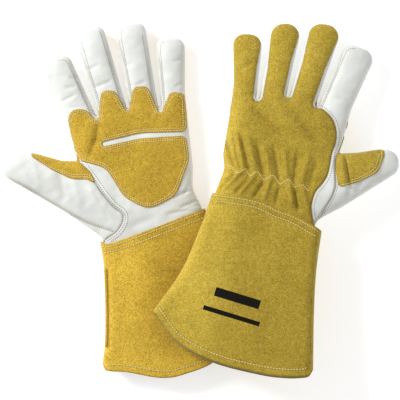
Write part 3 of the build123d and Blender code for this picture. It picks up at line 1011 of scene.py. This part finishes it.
    def stitches(self, rows, length, pitch, radius):
        """Capsule stitches along plan lines: rows are (surface, line, side, height)."""
        points, faces = [], []
        rings = np.array([0.0, 0.22, 0.78, 1.0])
        swell = np.array([0.45, 1.0, 1.0, 0.45])
        sink = np.array([-0.5, 0.15, 0.15, -0.5]) * radius
        angles = np.arange(STITCH_SIDES) * 2 * math.pi / STITCH_SIDES
        for surface, line, side, height in rows:
            even = resample(line, pitch)
            reach = np.diff(even, axis=0) * (length / pitch)
            heights = np.full(len(reach), height)
            starts = self.lifted(surface, even[:-1], side, heights)
            ends = self.lifted(surface, even[:-1] + reach, side, heights)
            for start, end in zip(starts, ends):
                axis = end - start
                size = np.sqrt(axis @ axis)
                if size < 0.3 or size > 2.2 * length:
                    continue
                axis /= size
                up = np.array([0, 0, float(side)])
                up = up - axis * (up @ axis)
                up /= max(np.sqrt(up @ up), 1e-6)
                wide = np.cross(axis, up)
                base = len(points)
                for t, s, drop in zip(rings, swell, sink):
                    centre = start + (end - start) * t + up * drop
                    for angle in angles:
                        points.append(centre + radius * s * (math.cos(angle) * wide + math.sin(angle) * up))
                for ring in range(len(rings) - 1):
                    low = base + ring * STITCH_SIDES
                    for k in range(STITCH_SIDES):
                        a, b = low + k, low + (k + 1) % STITCH_SIDES
                        faces.append((a, b, b + STITCH_SIDES, a + STITCH_SIDES))
                faces.append(tuple(base + k for k in reversed(range(STITCH_SIDES))))
                last = base + (len(rings) - 1) * STITCH_SIDES
                faces.append(tuple(last + k for k in range(STITCH_SIDES)))
        return points, faces

    def sew(self, name, rows, material, slot, nodes, length, pitch, radius):
        """One piece with every stitch of the rows; nodes are the frame's nodes it stands for."""
        points, faces = self.stitches(rows, length, pitch, radius)
        piece = make_object(f"{self.name}_{name}", points, faces, [material], self.place)
        self.own(piece, slot, *(f"{self.name}_{node}" for node in nodes))

    def strip(self, name, surface, line, side, profile, material, slot, node):
        """A raised strip along a plan line: profile is (across, height) pairs."""
        points = np.vstack([self.lifted(surface, beside(line, offset), side, np.full(len(line), height))
                            for offset, height in profile])
        faces = grid_faces(len(profile), len(line), turned=side > 0)
        piece = make_object(f"{self.name}_{name}", points, faces, [material], self.place)
        thicken(piece, STRIP_SHEET)
        self.own(piece, slot, f"{self.name}_{node}")


def cuff_shade(glove, plan, side):
    """Painted shading of a cuff: painted shade along its rows of stitches, hem and side seam, painted
    highlights on its sides, and painted light and shade in soft spots.
    """
    lines = glove.cuff_lines
    below = glove.below_cuff_top(plan)
    hem_gap = nearest(plan, lines["hem"], False)
    shade = 0.35 * bump(hem_gap - HEM_ROW, 0.9)
    for drop in CUFF_ROWS:
        shade = np.maximum(shade, 0.35 * bump(below - drop, 0.9))
    shade = np.maximum(shade, 0.5 * bump(hem_gap, 0.8))
    edges = np.minimum(nearest(plan, lines["left"], False), nearest(plan, lines["right"], False))
    if side > 0:
        # Painted shade in the groove of the side seam, on the lower glove's front only.
        groove = 0.8 if glove.palm_up else 0.0
        shade = np.maximum(shade, groove * bump(nearest(plan, glove.cuff_seam, False), 0.9))
        # Painted light and painted shade in soft spots.
        shade -= glove.painted_light_level(plan)
    # Painted highlight along the cuff's two sides.
    return shade - 0.2 * bump(edges - 0.8, 1.4)


def cuff_shell(glove, side, name):
    """One face of the gauntlet cuff, spanned between its four edges."""
    count = CUFF_CELLS + 1
    down = np.linspace(0, 1, count)
    across = 0.5 * down + 0.5 * (0.5 - 0.5 * np.cos(math.pi * down))
    lines = glove.cuff_lines

    def along(key, t):
        line = resample(lines[key], 1.0)
        place = np.linspace(0, 1, len(line))
        return np.column_stack([np.interp(t, place, line[:, 0]), np.interp(t, place, line[:, 1])])

    top, hem = along("top", across), along("hem", across)
    left, right = along("left", down), along("right", down)
    u, v = across[None, :, None], down[:, None, None]
    ruled = (1 - v) * top[None] + v * hem[None]
    sides = (1 - u) * left[:, None] + u * right[:, None]
    corner = ((1 - u) * (1 - v) * top[0] + u * (1 - v) * top[-1] + (1 - u) * v * hem[0] + u * v * hem[-1])
    plan = (ruled + sides - corner).reshape(-1, 2)
    points = glove.cuff(plan, side)
    on_side = np.zeros((count, count), bool)
    on_side[:, 0] = on_side[:, -1] = True
    points[on_side.reshape(-1), 2] = MID
    faces = grid_faces(count, count, turned=side < 0)
    piece = make_object(
        f"{glove.name}_{name}_shell", points, faces, [SUEDE[glove.name], LINING], glove.place,
        cuff_shade(glove, plan, side))
    thicken(piece, WALL, 1)
    glove.own(piece, "split_leather", f"{glove.name}_{name}")


def hand_runs(glove, line, margin):
    """The stretches of a plan line that lie on the hand, a margin away from its edge."""
    within = inside(line, glove.loop) & (nearest(line, glove.loop) > margin)
    within &= glove.below_cuff_top(line) < -1.0
    return kept_runs(line, within, 4)


def finger_seams(glove, side):
    """Stitch lines just inside the finger's edges, along each gap."""
    ring = inward(glove.loop, 4.3)
    which, _, _ = glove.gap_sides(ring)
    steps = np.hypot(*(np.roll(ring, -1, axis=0) - ring).T)
    cut = np.flatnonzero((steps > 4) | (which != np.roll(which, -1))) + 1
    return [run for run in np.split(ring, cut) if len(run) > 8 and glove.gap_sides(run[4:5])[0][0] >= 0]


def patch_rows(glove):
    """Rows of stitches around the palm patch, broken where its slot or a corner breaks them."""
    loop = rounded_loop(glove.to_palm(PALM_PATCH), PATCH_STEP)
    rows = []
    for distance in PATCH_ROWS:
        ring = inward(loop, distance)
        steps = np.hypot(*(np.roll(ring, -1, axis=0) - ring).T)
        ring = np.roll(ring, -int(np.argmax(steps)) - 1, axis=0)
        steps = np.hypot(*np.diff(ring, axis=0).T)
        for run in np.split(ring, np.flatnonzero(steps > 3.0) + 1):
            if len(run) > 5:
                rows.append((glove.hand, run, glove.palm_side, PATCH_THICK - 0.1))
    return rows


def thumb_rows(glove):
    """Rows of stitches on the two faces of the thumb's patch."""
    palm = glove.palm_side
    lines = [(glove.to_palm(line), palm) for line in THUMB_PALM_ROWS]
    lines += [(glove.to_back(line), -palm) for line in THUMB_BACK_ROWS]
    return [(glove.hand, run, side, PATCH_THICK - 0.1)
            for line, side in lines for run in hand_runs(glove, smooth_line(line, 1.0), 0.8)]


def grain_rows(glove):
    """Rows of stitches beside the fingers' edges and the hand's seams."""
    rows = []
    for side in (1, -1):
        for run in finger_seams(glove, side):
            if side == glove.palm_side or inside(run, glove.index_zone()).all():
                rows.append((glove.hand, run, side, 0.05))
    for side, line, offset in glove.rows:
        for run in hand_runs(glove, beside(line, offset), 1.2):
            rows.append((glove.hand, run, side, 0.05))
    return rows


def cuff_rows(glove, edge, drops):
    """Rows of stitches on both faces of the cuff, below one of its edges."""
    lines = [glove.on_cuff(offset_below(glove.cuff_lines[edge], drop)) for drop in drops]
    return [(glove.cuff, line, side, 0.15) for line in lines for side in (1, -1)]


def sew_glove(glove):
    """Every row of stitches on one glove."""
    pale, grey = (PALE_THREAD, "suede_thread"), (GREY_THREAD, "grain_thread")
    glove.sew("palm_patch_stitches", patch_rows(glove), *pale, ["palm_patch_thread"], 1.5, 2.3, 0.36)
    glove.sew("thumb_patch_stitches", thumb_rows(glove), *pale, ["thumb_patch_thread"], 1.6, 2.3, 0.36)
    top_rows = cuff_rows(glove, "top", CUFF_ROWS)
    glove.sew("cuff_seam_stitches", top_rows, *pale, ["cuff_seam_thread"], 1.9, 2.7, 0.45)
    glove.sew("hem_stitches", cuff_rows(glove, "hem", [-HEM_ROW]), *pale, ["hem_thread"], 2.1, 2.9, 0.47)
    glove.sew("hand_stitches", grain_rows(glove), *grey, [], 1.2, 2.2, 0.33)
    gathers = [(glove.hand, resample(glove.to_back(GATHERS), 0.9), -glove.palm_side, 0.1)]
    glove.sew("wrist_stitches", gathers, *pale, [], 1.7, 2.2, 0.42)


def cuff_welt(glove):
    """The raised edge of leather along the cuff's side seam."""
    line = glove.cuff_seam + [-1.7 if glove.palm_up else 1.7, 0]
    crest = 0.5 if glove.palm_up else 0.2
    profile = [(-1.1, -0.1), (-0.7, 0.6 * crest), (0.0, crest), (0.7, 0.6 * crest), (1.1, -0.1)]
    leather = (SUEDE[glove.name], "split_leather")
    glove.strip("cuff_welt_ridge", glove.cuff, line, 1, profile, *leather, "cuff_welt")


def wrist_elastic(glove):
    """The elastic band inside the back of the wrist."""
    x, y = glove.to_back([BAND_SPOT])[0]
    lean = BAND_LEAN if glove.palm_up else -BAND_LEAN
    places = np.linspace(-BAND_LENGTH / 2, BAND_LENGTH / 2, 50)
    line = np.column_stack([x + places * math.cos(lean), y + places * math.sin(lean)])
    profile = [(-BAND_WIDTH / 2, -2.4), (0, -2.3), (BAND_WIDTH / 2, -2.4)]
    back = -glove.palm_side
    glove.strip("wrist_elastic_band", glove.hand, line, back, profile, ELASTIC, "elastic", "wrist_elastic")


def build(glove):
    """Every piece of one glove."""
    palm, back = glove.palm_side, -glove.palm_side
    tone = SUEDE[glove.name]
    thumb_palm, thumb_back = glove.to_palm(THUMB_PALM), glove.to_back(THUMB_BACK)
    glove.panels()
    glove.patch("palm_patch", [(glove.to_palm(PALM_PATCH), palm)], tone)
    glove.patch("thumb_patch", [(thumb_palm, palm), (thumb_back, back)], tone)
    cuff_shell(glove, 1, "cuff_front")
    cuff_shell(glove, -1, "cuff_back")
    sew_glove(glove)
    cuff_welt(glove)
    wrist_elastic(glove)


def printed_mark(glove):
    """Plain printed bars on the cuff, with no lettering."""
    ahead = np.array([math.cos(PRINT_LEAN), math.sin(PRINT_LEAN)])
    up = np.array([-ahead[1], ahead[0]])
    points, faces = [], []
    for x, y, length, width in PRINT_BARS:
        columns = int(length) + 1
        faces += grid_faces(3, columns, len(points), turned=True)
        for across in (-width / 2, 0, width / 2):
            for along in np.linspace(-length / 2, length / 2, columns):
                points.append(np.array([x, y]) + ahead * along + up * across)
    surface = glove.lifted(glove.cuff, np.array(points), 1, np.full(len(points), 0.14))
    piece = make_object(f"{glove.name}_cuff_print", surface, faces, [INK], glove.place)
    glove.own(piece, "ink")


# ---------------------------------------------------------------- the two gloves

def place_lower(points):
    return points * MM


def place_upper(points):
    """Slope the upper glove about its fingertips, where the frame has its wrist band."""
    x, y, z = points.T
    c, s = math.cos(UPPER_TILT), math.sin(UPPER_TILT)
    turned = np.column_stack([x, y * c + z * s, -y * s + z * c])
    low, high = (np.array(corner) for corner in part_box("upper_wrist_elastic"))
    centre = (low + high) / 2 / MM
    drawn = np.array([*BAND_SPOT, 2 * MID - CAD_LEATHER - BAND_HALF])
    home = np.array([drawn[0], drawn[1] * c + drawn[2] * s, -drawn[1] * s + drawn[2] * c])
    return (turned - home + centre) * MM


lower = Glove(
    "lower", "lower_glove", LOWER_HAND, LOWER_CUFF, LOWER_GAPS, True, LOWER_FOLDS, LOWER_PAINTED_LIGHT, place_lower)
upper = Glove(
    "upper", "upper_glove", UPPER_HAND, UPPER_CUFF, UPPER_GAPS, False, UPPER_FOLDS, UPPER_PAINTED_LIGHT, place_upper)
build(lower)
build(upper)
printed_mark(upper)


# ---------------------------------------------------------------- stage

def build_floor():
    """A pale floor."""
    corners = [(x * FLOOR_REACH, y * FLOOR_REACH, 0) for x, y in ((-1, -1), (1, -1), (1, 1), (-1, 1))]
    mesh = bpy.data.meshes.new("floor")
    mesh.from_pydata(corners, [], [(0, 1, 2, 3)])
    floor = bpy.data.objects.new("floor", mesh)
    bpy.context.scene.collection.objects.link(floor)
    material, _, shader = new_material("floor")
    set_sockets(shader, Base_Color=(0.8, 0.8, 0.8, 1.0), Roughness=0.9)
    set_sockets(shader, Emission_Color=(1.0, 1.0, 1.0, 1.0), Emission_Strength=0.5)
    mesh.materials.append(material)


def build_lights():
    """An even white surround, a soft key light and a weak fill."""
    world = bpy.data.worlds.new("studio")
    bpy.context.scene.world = world
    world.use_nodes = True
    set_sockets(world.node_tree.nodes["Background"], Color=(1.0, 1.0, 1.0, 1.0), Strength=0.45)
    for name, spot, size, power in LIGHTS:
        light = bpy.data.lights.new(name, "AREA")
        light.size = size
        light.energy = power
        lamp = bpy.data.objects.new(name, light)
        lamp.location = spot
        lamp.rotation_euler = Vector(spot).to_track_quat("Z", "Y").to_euler()
        bpy.context.scene.collection.objects.link(lamp)


def build_camera():
    """A long lens straight overhead, that sees a fixed width at the gloves' own height."""
    lens = bpy.data.cameras.new("camera")
    lens.lens = 300.0
    lens.sensor_width = 36.0
    camera = bpy.data.objects.new("camera", lens)
    height = VIEW_WIDTH * lens.lens / lens.sensor_width
    camera.location = (0.0, 0.0, height + VIEW_LEVEL)
    bpy.context.scene.collection.objects.link(camera)
    bpy.context.scene.camera = camera
    bpy.context.scene.view_settings.view_transform = "Standard"


build_floor()
build_lights()
build_camera()

bpy.context.view_layer.update()
